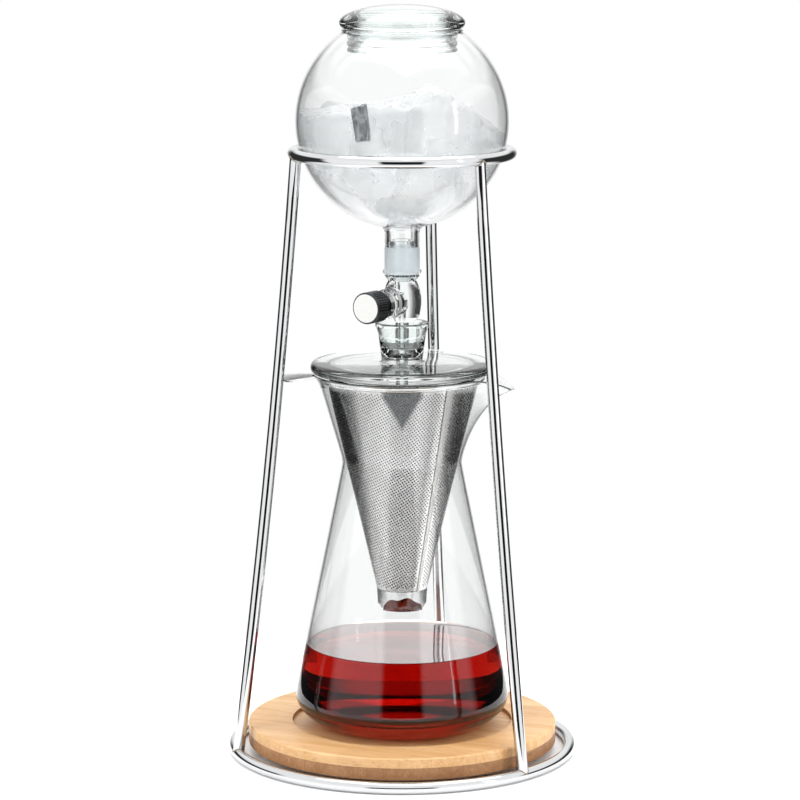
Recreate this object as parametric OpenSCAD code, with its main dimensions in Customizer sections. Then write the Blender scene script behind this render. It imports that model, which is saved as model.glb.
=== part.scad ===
// Cold drip coffee tower: a bent-rod stand with a wooden base board, a carafe with a cone filter
// and a drip lid, and a glass globe for iced water that feeds a needle valve.
// Millimetres, +Z up. The origin is on the table at the centre of the base ring, and -Y is the front.

/* [Stand] */
// Diameter of the round steel rod
rod_d = 7; // [6:0.5:8]
// Centreline radius of the base ring
base_ring_r = 101; // [99:1:106]
// Centreline radius of the ring that carries the globe
upper_ring_r = 64; // [62:0.5:66]
// Height of the upper ring's centreline
upper_ring_z = 359.6; // [356:0.1:364]
// How far the middle of each leg bows in towards the axis
leg_bow = 2.4; // [1:0.1:4]
// Direction of the left leg, counted from the front, towards the right
left_leg_az = -75; // [-80:1:-65]
// Direction of the right leg
right_leg_az = 44; // [38:1:50]
// Direction of the rear leg
rear_leg_az = 165; // [155:1:175]

/* [Base board] */
// Diameter of the two-ply board
board_d = 184.6; // [180:0.2:188]
// Thickness of the pale top ply
top_ply_t = 5.8; // [5:0.1:7]
// Thickness of the dark bottom ply
bottom_ply_t = 7.4; // [6:0.1:9]
// Diameter of the round recess that locates the carafe
recess_d = 132; // [130:1:136]
// Depth of that recess
recess_depth = 2.4; // [1.5:0.1:3]
// Height of the rubber feet
foot_h = 5.3; // [4:0.1:7]
// Diameter of the rubber feet
foot_d = 14; // [10:1:18]

/* [Carafe] */
// Height of the carafe
carafe_h = 213.2; // [210:0.1:216]
// Wall thickness of the carafe
carafe_wall = 1.4; // [1.2:0.1:1.8]
// Height of the waist above the carafe's base
waist_h = 160; // [155:1:165]
// Radius where the two straight flanks would meet at the waist
waist_r = 35.3; // [34:0.1:37]
// Radius that the belly comes up to
belly_r = 64.4; // [63:0.1:65]
// Reach of the pouring spout from the axis
spout_reach = 66.9; // [64:0.1:68]
// Direction of the spout
spout_az = 88; // [84:1:92]
// Reach of the thumb tab from the axis
tab_reach = 72; // [69:0.5:73]
// Direction of the thumb tab
tab_az = -92; // [-96:1:-90]

/* [Filter] */
// Outer radius of the filter cone at its top
filter_top_r = 45.3; // [44.5:0.1:45.5]
// Outer radius of the filter cone at its bottom
filter_bottom_r = 15.2; // [13:0.1:17]
// Height of the perforated cone
filter_cone_h = 126.3; // [120:0.1:130]
// Outer radius of the rolled rim
filter_rim_r = 49.4; // [48.8:0.1:49.4]

/* [Carafe lid] */
// Radius of the glass lid
lid_r = 54.4; // [53:0.1:56]
// Thickness of the lid's plate
lid_t = 6.3; // [5:0.1:7]
// Outer radius of the drip cup at its rim
cup_rim_r = 15.9; // [15:0.1:17]
// Height of the drip cup above the lid's top
cup_h = 23.6; // [21:0.1:25]

/* [Globe] */
// Outer radius of the globe
globe_r = 62.8; // [62:0.1:62.8]
// Wall thickness of the globe
globe_wall = 1.8; // [1.4:0.1:2.4]
// Height of the globe's rim above its centre
mouth_rise = 52.4; // [52:0.1:53]
// Inner radius of the globe's mouth
mouth_r = 33; // [32.8:0.1:33.2]
// Outer radius of the globe's neck
neck_r = 10.2; // [9.8:0.1:10.4]

/* [Globe lid] */
// Outer radius of the stopper's flange
stopper_r = 36.9; // [36:0.1:38]
// Thickness of the flange at the middle of its domed top
stopper_t = 14.1; // [12:0.1:15]
// Outer radius of the stopper's plug
plug_r = 32.3; // [31.5:0.1:32.4]
// Length of the plug below the flange
plug_h = 13.8; // [10:0.1:16]

/* [Valve] */
// Radius of the glass bulb that holds the needle valve
ball_r = 11.4; // [11:0.1:11.8]
// Height of the valve's knob above the table
valve_z = 271.8; // [271:0.1:272.5]
// Direction that the knob points
knob_az = -33; // [-40:1:-25]
// Diameter of the knob
knob_d = 18.5; // [17:0.5:20]
// Length of the knob
knob_l = 13; // [11:0.5:13]
// Travel of the needle from closed to fully open
needle_travel = 2; // [1:0.5:2]

/* [Hidden] */

$fn = 96;
// A gap that keeps two flat faces of different pieces just apart
face_gap = 0.05;
// A gap that keeps two round faces of different pieces apart
round_gap = 0.3;
overshoot = 1;

rod_r = rod_d / 2;
// The leg is a hair thinner than the ring rod, so that its coped end wraps the ring cleanly.
leg_r = rod_r - 0.1;
board_z = foot_h;
board_top_z = board_z + bottom_ply_t + top_ply_t;
carafe_z = board_top_z - recess_depth + face_gap;
rim_z = carafe_z + carafe_h;
filter_top_z = rim_z - 4;
filter_bottom_z = filter_top_z - filter_cone_h;
lid_z = rim_z + 0.25;
lid_top_z = lid_z + lid_t;
globe_z = upper_ring_z + sqrt(pow(globe_r + rod_r + round_gap, 2) - pow(upper_ring_r, 2));
mouth_z = globe_z + mouth_rise;
stopper_z = mouth_z + 1.3 + round_gap;

// A direction counted from the front towards the right, as an angle from +X
function heading(az) = az - 90;

// ---- Stand ----

module rod_ring(radius, z)
    translate([0, 0, z]) rotate_extrude() translate([radius, 0]) circle(d = rod_d, $fn = 48);

// The leg's centreline is one shallow arc between the centrelines of the two rings.
foot_point = [base_ring_r, rod_r];
head_point = [upper_ring_r, upper_ring_z];
leg_chord = norm(head_point - foot_point);
leg_out = [head_point[1] - foot_point[1], foot_point[0] - head_point[0]] / leg_chord;
leg_arc_r = pow(leg_chord, 2) / (8 * leg_bow) + leg_bow / 2;
leg_centre = (foot_point + head_point) / 2 + (leg_arc_r - leg_bow) * leg_out;
leg_sweep = 2 * asin(leg_chord / 2 / leg_arc_r);
leg_mid_angle = atan2(-leg_out[1], -leg_out[0]);

module leg(az)
    difference() {
        rotate([0, 0, heading(az)]) translate([leg_centre[0], 0, leg_centre[1]]) rotate([90, 0, 0])
            rotate([0, 0, leg_mid_angle - leg_sweep / 2])
                rotate_extrude(angle = leg_sweep, $fn = 2400)
                    translate([leg_arc_r, 0]) circle(r = leg_r, $fn = 48);
        rod_ring(base_ring_r, rod_r);
        rod_ring(upper_ring_r, upper_ring_z);
    }

module base_ring() color("silver") rod_ring(base_ring_r, rod_r);
module upper_ring() color("silver") rod_ring(upper_ring_r, upper_ring_z);
module left_leg() color("silver") leg(left_leg_az);
module right_leg() color("silver") leg(right_leg_az);
module rear_leg() color("silver") leg(rear_leg_az);

// ---- Base board ----

foot_ring_r = 72;
foot_count = 4;
edge_break = 0.8;

// A disc whose top edge or bottom edge is broken by a small chamfer
module chamfered_disc(radius, height, low, high)
    rotate_extrude() polygon([[0, 0], [radius - low, 0], [radius, low],
        [radius, height - high], [radius - high, height], [0, height]]);

module board_bottom_ply()
    color("peru") translate([0, 0, board_z]) chamfered_disc(board_d / 2, bottom_ply_t, edge_break, 0);

module board_top_ply()
    color("burlywood") translate([0, 0, board_z + bottom_ply_t]) difference() {
        chamfered_disc(board_d / 2, top_ply_t, 0, edge_break);
        translate([0, 0, top_ply_t - recess_depth]) cylinder(d = recess_d, h = recess_depth + overshoot);
    }

module board_feet()
    color("dimgray") for (i = [0 : foot_count - 1])
        rotate([0, 0, 45 + i * 360 / foot_count]) translate([foot_ring_r, 0, 0])
            cylinder(r1 = foot_d / 2 - 1, r2 = foot_d / 2, h = foot_h);

// ---- Carafe ----

// The flanks are two straight cones that meet at a soft waist. Below them a belly turns into the base, and
// above them the rim flares out.
lower_slope = 0.2045;
upper_slope = 0.298;
waist_softness = 0.45;
belly_softness = 0.6;
corner_h = 19;
corner_r = 28;
flare_h = 7.2;
flare_r = 2.85;

function soft_max(a, b, e) = (a + b) / 2 + sqrt(pow((a - b) / 2, 2) + e * e);
function soft_min(a, b, e) = (a + b) / 2 - sqrt(pow((a - b) / 2, 2) + e * e);
function corner_cut(h) = h >= corner_h ? 0 : corner_r * (1 - sqrt(1 - pow(1 - h / corner_h, 2)));
function flare(h) = h <= carafe_h - flare_h ? 0 : flare_r * pow((h - carafe_h + flare_h) / flare_h, 1.6);
function carafe_r(h) =
    soft_min(soft_max(waist_r + lower_slope * (waist_h - h), waist_r + upper_slope * (h - waist_h),
        waist_softness), belly_r, belly_softness) - corner_cut(h) + flare(h);

// The spout: seen from above the rim is a teardrop, whose sides leave the round rim as tangents.
rim_r = carafe_r(carafe_h);
spout_half = acos(rim_r / spout_reach);
spout_root_h = 164;
spout_drop = 9.8;
spout_nose = 6;
function turn_from(angle, az) = let (d = angle - heading(az)) abs(d - 360 * round(d / 360));
function spout_share(angle) =
    let (d = sqrt(pow(turn_from(angle, spout_az), 2) + spout_nose * spout_nose) - spout_nose / 2)
        d >= spout_half ? 0 : (1 / cos(spout_half - d) - 1) / (1 / cos(spout_half) - 1);
function spout_rise(h) = h <= spout_root_h ? 0 : pow((h - spout_root_h) / (carafe_h - spout_root_h), 2.3);
function spout_out(angle, h) = (spout_reach - rim_r) * spout_share(angle) * spout_rise(h);

// The thumb tab is a flat tongue of solid glass, opposite the spout, just under the rim. It droops a little.
tab_half = 17;
tab_drop = 3;
tab_low = carafe_h - 1.8;
tab_high = carafe_h - 0.4;
function tab_share(angle, h) =
    let (turn = turn_from(angle, tab_az) / tab_half)
        h < tab_low || h > tab_high || turn >= 1 ? 0 : sqrt(1 - pow(turn, 4));
function tab_out(angle, h) = (tab_reach - rim_r) * tab_share(angle, h);

// The wall is two skins of rings, joined over the rim and closed by a floor.
carafe_sides = 72;
corner_steps = 6;
outer_heights = concat([for (i = [0 : corner_steps]) corner_h * (1 - cos(90 * i / corner_steps))],
    [29, 38, 62, 86, 110, 134, 148, 155, 160, 165, 172, 180, 188, 194, 200, 206, 208.4, 210.4,
        tab_low - 0.3, tab_low, tab_high, carafe_h]);
inner_heights = concat([carafe_h], [210.6, 208.4, 206, 200, 194, 188, 180, 172, 165, 160, 155, 148, 134,
    110, 86, 62, 38, 29], [for (i = [corner_steps : -1 : 0]) corner_h * (1 - cos(90 * i / corner_steps))]);
floor_h = 2;

function skin_point(angle, h, radius) =
    [radius * cos(angle), radius * sin(angle), h - spout_drop * spout_share(angle) * spout_rise(h)];
function outer_ring(h) = [for (j = [0 : carafe_sides - 1]) let (a = j * 360 / carafe_sides)
    skin_point(a, h, carafe_r(h) + spout_out(a, h) + tab_out(a, h)) - [0, 0, tab_drop * tab_share(a, h)]];
// The wall's thickness is taken along the radius, and square to the skin where the round corner lies flat.
function skin_lean(h) = h > corner_h ? 0 : atan((carafe_r(h + 0.05) - carafe_r(h)) / 0.05);
function inner_ring(h) = let (lean = skin_lean(h), level = max(h + carafe_wall * sin(lean), floor_h))
    [for (j = [0 : carafe_sides - 1]) let (a = j * 360 / carafe_sides)
        skin_point(a, level, carafe_r(h) + spout_out(a, h) - carafe_wall * cos(lean))];

module carafe() {
    rings = concat([for (h = outer_heights) outer_ring(h)], [for (h = inner_heights) inner_ring(h)]);
    count = len(rings);
    points = concat([for (ring = rings) each ring], [[0, 0, 0], [0, 0, floor_h]]);
    walls = [for (i = [0 : count - 2], j = [0 : carafe_sides - 1])
        let (k = (j + 1) % carafe_sides, a = i * carafe_sides, b = a + carafe_sides)
            each [[a + j, b + j, b + k], [a + j, b + k, a + k]]];
    base = [for (j = [0 : carafe_sides - 1]) [(j + 1) % carafe_sides, count * carafe_sides, j]];
    last = (count - 1) * carafe_sides;
    bottom = [for (j = [0 : carafe_sides - 1])
        [last + j, count * carafe_sides + 1, last + (j + 1) % carafe_sides]];
    color("lightcyan", 0.4) translate([0, 0, carafe_z])
        polyhedron(points = points, faces = concat(walls, base, bottom), convexity = 8);
}

// ---- Filter ----

filter_slope = (filter_top_r - filter_bottom_r) / filter_cone_h;
outer_sheet = 0.5;
mesh_gap = 0.3;
mesh_sheet = 0.3;
cap_h = 12;
cap_sheet = 0.8;
cap_floor_r = 11.5;
rim_bead = 1.2;
seam_az = 38;
seam_angle = 6;
seam_sheet = 0.4;

// A conical sheet that lies a given depth inside the filter's outer face
module cone_sheet(depth, sheet, angle = 360)
    rotate_extrude(angle = angle) polygon([
        [filter_bottom_r - depth, filter_bottom_z], [filter_bottom_r - depth - sheet, filter_bottom_z],
        [filter_top_r - depth - sheet, filter_top_z], [filter_top_r - depth, filter_top_z]]);

module filter_outer_cone() color("lightgray") cone_sheet(0, outer_sheet);
module filter_inner_mesh() color("gainsboro") cone_sheet(outer_sheet + mesh_gap, mesh_sheet);

// The rim is a flat flange with a rolled bead at its edge. Both sheets of the cone hang from it.
module filter_rim()
    color("silver") union() {
        flange_in = filter_top_r - outer_sheet - mesh_gap - mesh_sheet;
        translate([0, 0, filter_top_z]) difference() {
            cylinder(r = filter_rim_r - rim_bead, h = 1);
            translate([0, 0, -overshoot]) cylinder(r = flange_in, h = 1 + 2 * overshoot);
        }
        translate([0, 0, filter_top_z + 0.9]) rotate_extrude()
            translate([filter_rim_r - rim_bead, 0]) circle(r = rim_bead, $fn = 32);
    }

// The base cap is a pressed cup, almost straight-sided, that closes the cone.
module filter_base_cap()
    color("silver") translate([0, 0, filter_bottom_z - cap_h]) rotate_extrude() polygon([
        [0, 0], [cap_floor_r, 0], [cap_floor_r + 2.1, 0.9], [cap_floor_r + 3.1, 3],
        [filter_bottom_r, cap_h], [filter_bottom_r - 1.4, cap_h],
        [filter_bottom_r - 1.6, 4], [cap_floor_r + 1.2, 1.8], [cap_floor_r, cap_sheet],
        [0, cap_sheet]]);

module filter_seam()
    color("whitesmoke") rotate([0, 0, heading(seam_az) - seam_angle / 2])
        cone_sheet(-0.02 - seam_sheet, seam_sheet, seam_angle);

// ---- Carafe lid ----

cup_foot_r = 12;
cup_floor_z = lid_top_z + 3;
drip_hole_r = 2.5;
lip_out_r = 43;
lip_in_r = 40;
lip_h = 2.4;
edge_steps = 6;

// Half-round edge points of a plate, from its underside to its top
function round_edge(radius, low, high) = let (e = (high - low) / 2)
    [for (i = [0 : edge_steps]) let (a = -90 + 180 * i / edge_steps)
        [radius - e + e * cos(a), low + e + e * sin(a)]];

// The drip cup stands on the plate: a thick beaker with a heavy lip and a round bowl inside.
cup_top_z = lid_top_z + cup_h;
bowl_r = cup_rim_r - 2;
bowl_floor_r = 6.2;
bowl_turn = acos(bowl_floor_r / bowl_r);
bowl_steps = 8;
function bowl() = [for (i = [0 : bowl_steps]) let (a = bowl_turn * i / bowl_steps)
    [bowl_r * cos(a), cup_top_z - (cup_top_z - cup_floor_z) * sin(a) / sin(bowl_turn)]];

module carafe_lid()
    color("lightcyan", 0.4) rotate_extrude() polygon(concat(
        [[drip_hole_r, lid_z], [lip_in_r, lid_z], [lip_in_r, lid_z - lip_h],
            [lip_out_r, lid_z - lip_h], [lip_out_r, lid_z]],
        round_edge(lid_r, lid_z, lid_top_z),
        [[cup_foot_r, lid_top_z], [cup_foot_r + 2.3, cup_top_z - 6.8], [cup_rim_r - 0.2, cup_top_z - 3.6],
            [cup_rim_r, cup_top_z - 1.2], [cup_rim_r - 0.7, cup_top_z]],
        bowl(), [[drip_hole_r, cup_floor_z]]));

// ---- Globe and its stopper ----

// The socket is a made tube, fused to the ball. Its ground bore narrows upwards by a tenth of its length in
// diameter, and the tube leads on into the ball as its neck.
socket_z = 288.5;
socket_top_z = 303.3;
socket_r = 10.5;
socket_lip_r = 11.6;
socket_lip_h = 2;
joint_top_z = 308;
joint_large_r = 9;
joint_fit = 0.05;
joint_taper = 1 / 20;
neck_bore_r = joint_large_r + joint_fit - (joint_top_z + 0.5 - socket_z) * joint_taper;
neck_top_z = globe_z - globe_r + 0.95;
neck_flare = 0.6;

module globe()
    color("azure", 0.4) difference() {
        union() {
            difference() {
                translate([0, 0, globe_z]) sphere(r = globe_r, $fn = 160);
                translate([0, 0, mouth_z]) cylinder(r = globe_r, h = globe_r);
                translate([0, 0, neck_top_z - globe_r]) cylinder(r = globe_r, h = globe_r);
            }
            translate([0, 0, mouth_z]) rotate_extrude() translate([mouth_r + 1.4, 0])
                circle(r = 1.3, $fn = 32);
        }
        translate([0, 0, globe_z]) sphere(r = globe_r - globe_wall, $fn = 160);
        translate([0, 0, globe_z]) cylinder(r = mouth_r, h = globe_r + overshoot);
        translate([0, 0, neck_top_z - overshoot]) cylinder(r = neck_bore_r, h = globe_r / 2);
    }

module globe_socket()
    color("azure", 0.4) difference() {
        union() {
            translate([0, 0, socket_z]) cylinder(r = neck_r, h = neck_top_z - 0.01 - socket_z);
            translate([0, 0, neck_top_z - 2]) cylinder(r1 = neck_r, r2 = neck_r + neck_flare, h = 1.99);
            translate([0, 0, socket_z]) cylinder(r = socket_r, h = socket_top_z - socket_z);
            translate([0, 0, socket_z]) cylinder(r = socket_lip_r, h = socket_lip_h);
        }
        translate([0, 0, socket_z - overshoot]) cylinder(h = joint_top_z + 0.5 - socket_z + overshoot,
            r1 = joint_large_r + joint_fit + overshoot * joint_taper, r2 = neck_bore_r);
        translate([0, 0, joint_top_z]) cylinder(r = neck_bore_r, h = neck_top_z - joint_top_z + overshoot);
    }

// The stopper is a hollow plug with shallow rings round it, under a thick flange like a bun.
plug_wall = 3.4;
ring_count = 3;
ring_depth = 0.5;
ring_pitch = 4;
stopper_roof = 3.6;
bun_low = 3.4;
hollow_low = 3;
dome_steps = 10;

// A quarter ellipse from its widest point up to the axis
function dome(radius, low, rise) = [for (i = [0 : dome_steps]) let (a = 90 * i / dome_steps)
    [radius * cos(a), low + rise * sin(a)]];
function bun_edge() = [for (i = [0 : 4]) let (a = -90 + 90 * i / 4)
    [stopper_r - bun_low + bun_low * cos(a), stopper_z + bun_low + bun_low * sin(a)]];

module globe_lid()
    color("azure", 0.4) difference() {
        rotate_extrude() polygon(concat([[0, stopper_z - plug_h], [plug_r, stopper_z - plug_h],
            [plug_r, stopper_z]], bun_edge(), dome(stopper_r, stopper_z + bun_low, stopper_t - bun_low)));
        rotate_extrude() polygon(concat([[0, stopper_z - plug_h - overshoot],
            [plug_r - plug_wall, stopper_z - plug_h - overshoot]],
            dome(plug_r - plug_wall, stopper_z + hollow_low, stopper_t - stopper_roof - hollow_low)));
        for (i = [0 : ring_count - 1]) translate([0, 0, stopper_z - 2.6 - i * ring_pitch])
            rotate_extrude() translate([plug_r + 0.5, 0]) circle(r = 0.5 + ring_depth, $fn = 24);
    }

// ---- Valve: local +X points from the ball towards the knob ----

bore_r = 4.2;
boss_r = 9;
boss_end = 17;
bush_start = 11.5;
bush_end = 19;
thread_r = 2.95;
fit = 0.05;
barrel_r = 3.4;
barrel_end = 9.4;
stem_r = 2.5;
seal_x = 8;
seal_ring_r = 3.4;
seal_r = 0.75;
seat_r = 1.2;
seat_end = 2.4;
nozzle_r = 4;
nozzle_z = 244.4;
nozzle_bore_r = 1.5;
funnel_r = 5.6;
hub_r = 5;
knob_start = 26;
hub_start = 22.8;
nut_end = 22;
cap_t = 1;
cap_r = 8.3;

module at_valve() translate([0, 0, valve_z]) rotate([0, 0, heading(knob_az)]) children();
// A cone or cylinder along local X from one station to another
module along(from, to, r1, r2) translate([from, 0, 0]) rotate([0, 90, 0])
    cylinder(h = to - from, r1 = r1, r2 = r2);

// The bulb is drawn out upwards to the joint, and its bottom is round and ends in the nozzle.
bulb_rise = 18;
bulb_top = 12.6;
bulb_low = 6;
bulb_bottom = 12.4;
bulb_steps = 10;
function bulb_r(dz) = ball_r * sqrt(1 - pow(dz / bulb_rise, 2));
bulb_side = [for (i = [0 : bulb_steps]) let (dz = (bulb_top + bulb_low) * i / bulb_steps - bulb_low)
    [bulb_r(dz), valve_z + dz]];
bulb_base = [for (i = [0 : 5]) let (a = 90 - 90 * i / 6)
    [nozzle_r + (bulb_r(bulb_low) - nozzle_r) * cos(a),
        valve_z - bulb_low - (bulb_bottom - bulb_low) * sin(a)]];

module valve_body()
    color("lightcyan", 0.5) difference() {
        union() {
            rotate_extrude() polygon(concat([[0, nozzle_z], [nozzle_r, nozzle_z]], bulb_base, bulb_side,
                [[joint_large_r + 1.4, socket_z - 1.4], [joint_large_r, socket_z],
                    [joint_large_r - (joint_top_z - socket_z) * joint_taper, joint_top_z],
                    [0, joint_top_z]]));
            at_valve() along(6, boss_end, boss_r, boss_r);
        }
        translate([0, 0, socket_z - 5]) cylinder(r = funnel_r, h = joint_top_z - socket_z + 5 + overshoot);
        translate([0, 0, nozzle_z - overshoot])
            cylinder(r = nozzle_bore_r, h = valve_z - nozzle_z + overshoot);
        at_valve() {
            along(-nozzle_bore_r, seat_end + overshoot, seat_r, seat_r);
            along(seat_end, bush_start, bore_r, bore_r);
            along(bush_start, boss_end + overshoot, 6, 6);
            translate([4.2, 0, 0]) cylinder(r = 1.3, h = socket_z - valve_z);
        }
    }

module valve_bush()
    color("white") at_valve() difference() {
        union() {
            along(bush_start, bush_end, 6, 6);
            along(boss_end, bush_end, 7.4, 7.4);
        }
        along(bush_start - overshoot, bush_end + overshoot, thread_r + fit, thread_r + fit);
    }

module gland_nut()
    color("silver") at_valve() difference() {
        along(bush_end, nut_end, 7.6, 7.0);
        along(bush_end - overshoot, nut_end + overshoot, thread_r + fit, thread_r + fit);
    }

module needle_seal()
    color("black") at_valve() translate([seal_x, 0, 0]) rotate([0, 90, 0])
        rotate_extrude() translate([seal_ring_r, 0]) circle(r = seal_r, $fn = 32);

module valve_needle()
    color("gray") at_valve() difference() {
        union() {
            along(1.2, 6.2, 0.6, barrel_r - 0.8);
            along(6.2, barrel_end, barrel_r, barrel_r);
            along(barrel_end, hub_start, thread_r, thread_r);
            along(hub_start, 35, stem_r, stem_r);
        }
        difference() {
            along(seal_x - seal_r - fit, seal_x + seal_r + fit, barrel_r + 1, barrel_r + 1);
            along(seal_x - 2, seal_x + 2, seal_ring_r - seal_r - fit, seal_ring_r - seal_r - fit);
        }
    }

knob_end = knob_start + knob_l;
knurl_count = 36;
knurl_depth = 0.35;

// The grip is turned, with fine straight flutes cut round it.
module valve_knob()
    color("dimgray") at_valve() difference() {
        union() {
            along(hub_start, knob_start, hub_r, hub_r);
            along(knob_start, knob_start + 0.6, knob_d / 2 - 0.6, knob_d / 2);
            along(knob_start + 0.6, knob_end - 0.6, knob_d / 2, knob_d / 2);
            along(knob_end - 0.6, knob_end, knob_d / 2, knob_d / 2 - 0.6);
        }
        along(hub_start - overshoot, 35 + face_gap, stem_r + 0.02, stem_r + 0.02);
        along(knob_end - cap_t, knob_end + overshoot, cap_r, cap_r);
        translate([24.4, 0, 0]) cylinder(r = 1.25, h = hub_r + overshoot);
        for (i = [0 : knurl_count - 1]) rotate([i * 360 / knurl_count, 0, 0])
            translate([0, 0, knob_d / 2 + 0.15]) along(knob_start + 1.4, knob_end - 1.4, 0.5, 0.5);
    }

module knob_cap() color("gainsboro") at_valve() along(knob_end - cap_t, knob_end, cap_r, cap_r);

module knob_set_screw()
    color("dimgray") at_valve() translate([24.4, 0, stem_r + 0.04]) difference() {
        cylinder(r = 1.23, h = 2.2);
        translate([0, 0, 1]) cylinder(d = 1.5, h = 2, $fn = 6);
    }

base_ring();
upper_ring();
left_leg();
right_leg();
rear_leg();
board_bottom_ply();
board_top_ply();
board_feet();
carafe();
filter_rim();
filter_outer_cone();
filter_inner_mesh();
filter_base_cap();
filter_seam();
carafe_lid();
globe();
globe_socket();
globe_lid();
valve_body();
valve_bush();
gland_nut();
needle_seal();
valve_needle();
valve_knob();
knob_cap();
knob_set_screw();
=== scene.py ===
"""Cold drip coffee tower: finishes for the frame's solids, and the glass, coffee and ice in full detail.

Lengths are in metres, in the frame's own axes. Driving sizes are written in millimetres and turned by mm().
"""

import math
import random
from functools import partial

import bmesh
import bpy
from bpy.props import FloatProperty, FloatVectorProperty, IntProperty, PointerProperty
from mathutils import Euler, Matrix, Vector, noise


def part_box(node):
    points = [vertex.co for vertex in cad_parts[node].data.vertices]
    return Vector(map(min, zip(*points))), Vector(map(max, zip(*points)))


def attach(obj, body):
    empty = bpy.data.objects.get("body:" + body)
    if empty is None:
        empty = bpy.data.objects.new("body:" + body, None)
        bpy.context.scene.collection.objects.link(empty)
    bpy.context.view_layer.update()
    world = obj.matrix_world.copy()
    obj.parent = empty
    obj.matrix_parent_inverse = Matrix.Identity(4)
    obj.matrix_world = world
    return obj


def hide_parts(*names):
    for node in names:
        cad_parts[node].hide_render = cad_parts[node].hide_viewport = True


bl_info = {
    "name": "Cold Drip Tower",
    "version": (1, 0, 0),
    "blender": (4, 5, 0),
    "location": "View3D > Sidebar > Drip Tower",
    "description": "Builds the glass, steel, bamboo, coffee and ice of a cold drip coffee tower",
    "category": "Add Mesh",
}

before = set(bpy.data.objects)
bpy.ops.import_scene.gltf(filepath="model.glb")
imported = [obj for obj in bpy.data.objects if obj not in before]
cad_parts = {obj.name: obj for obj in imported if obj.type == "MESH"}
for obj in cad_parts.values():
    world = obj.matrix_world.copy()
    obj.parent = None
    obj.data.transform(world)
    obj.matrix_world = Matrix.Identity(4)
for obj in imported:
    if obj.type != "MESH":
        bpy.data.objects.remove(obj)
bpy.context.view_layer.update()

# Index of refraction of each clear material.
GLASS_IOR = 1.47
COFFEE_IOR = 1.34
ICE_IOR = 1.31


# ---- Small helpers ----

def mm(*values):
    """Millimetres to metres, one value or several."""
    return values[0] * 0.001 if len(values) == 1 else tuple(v * 0.001 for v in values)


def mm_of(metres):
    """Metres to millimetres."""
    return metres * 1000


def srgb(code):
    """An sRGB hex colour as linear RGBA."""
    parts = [int(code[i:i + 2], 16) / 255 for i in (1, 3, 5)]
    return tuple(c / 12.92 if c <= 0.04045 else ((c + 0.055) / 1.055) ** 2.4 for c in parts) + (1.0,)


def node_top(name):
    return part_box(name)[1].z


def node_bottom(name):
    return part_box(name)[0].z


def node_radius(name):
    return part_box(name)[1].x


def add_node(tree, kind, inputs=None, links=None, **settings):
    """Adds a node with its settings, its input values and the sockets that feed it."""
    made = tree.nodes.new(kind)
    for key, value in settings.items():
        setattr(made, key, value)
    for key, value in (inputs or {}).items():
        made.inputs[key].default_value = value
    for key, source in (links or {}).items():
        tree.links.new(source, made.inputs[key])
    return made


def feed(tree, socket, value):
    """Sets a socket to a value, or links it to the socket that feeds it."""
    if isinstance(value, bpy.types.NodeSocket):
        tree.links.new(value, socket)
    else:
        socket.default_value = value


def calc(tree, operation, *values):
    """One Math node, fed by numbers or sockets."""
    made = add_node(tree, "ShaderNodeMath", operation=operation)
    for socket, value in zip(made.inputs, values):
        feed(tree, socket, value)
    return made.outputs[0]


def blend(tree, share, one, two):
    """A colour between two colours, each a value or a socket."""
    made = add_node(tree, "ShaderNodeMix", data_type="RGBA")
    for index, value in zip((0, 6, 7), (share, one, two)):
        feed(tree, made.inputs[index], value)
    return made.outputs[2]


def ranged(tree, value, from_low, from_high, to_low=0.0, to_high=1.0):
    """A value moved from one range to another, and held inside it."""
    made = add_node(tree, "ShaderNodeMapRange", {
        "From Min": from_low, "From Max": from_high, "To Min": to_low, "To Max": to_high}, {"Value": value})
    return made.outputs["Result"]


# ---- Mesh helpers ----

def arc(centre, radius, start, end, steps):
    """Points of an arc in the outline plane, angles in degrees."""
    turn = [math.radians(start + (end - start) * i / steps) for i in range(steps + 1)]
    return [(centre[0] + radius * math.cos(a), centre[1] + radius * math.sin(a)) for a in turn]


def rounded(corners, steps=6):
    """A closed outline of (r, z, fillet) corners in millimetres, with each corner turned into an arc."""
    outline = []
    count = len(corners)
    for i, (r, z, fillet) in enumerate(corners):
        here = Vector((r, z))
        if fillet <= 0:
            outline.append(tuple(here))
            continue
        before = (Vector(corners[i - 1][:2]) - here).normalized()
        after = (Vector(corners[(i + 1) % count][:2]) - here).normalized()
        half = math.acos(max(-1, min(1, before.dot(after)))) / 2
        reach = fillet / math.tan(half)
        middle = here + (before + after).normalized() * (fillet / math.sin(half))
        first = here + before * reach - middle
        last = here + after * reach - middle
        start = math.atan2(first.y, first.x)
        sweep = (math.atan2(last.y, last.x) - start + math.pi) % (2 * math.pi) - math.pi
        for k in range(steps + 1):
            a = start + sweep * k / steps
            outline.append((middle.x + fillet * math.cos(a), middle.y + fillet * math.sin(a)))
    return outline


def smooth_by_angle(work, limit):
    """Smooth faces, with every edge sharper than the limit kept crisp."""
    for face in work.faces:
        face.smooth = True
    for edge in work.edges:
        if len(edge.link_faces) == 2:
            edge.smooth = edge.calc_face_angle(0) < math.radians(limit)


def to_mesh(work, name, limit=35):
    """Closes a bmesh into a mesh with its faces pointing outwards."""
    bmesh.ops.remove_doubles(work, verts=work.verts, dist=mm(0.002))
    bmesh.ops.recalc_face_normals(work, faces=work.faces)
    smooth_by_angle(work, limit)
    mesh = bpy.data.meshes.new(name)
    work.to_mesh(mesh)
    work.free()
    return mesh


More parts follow.
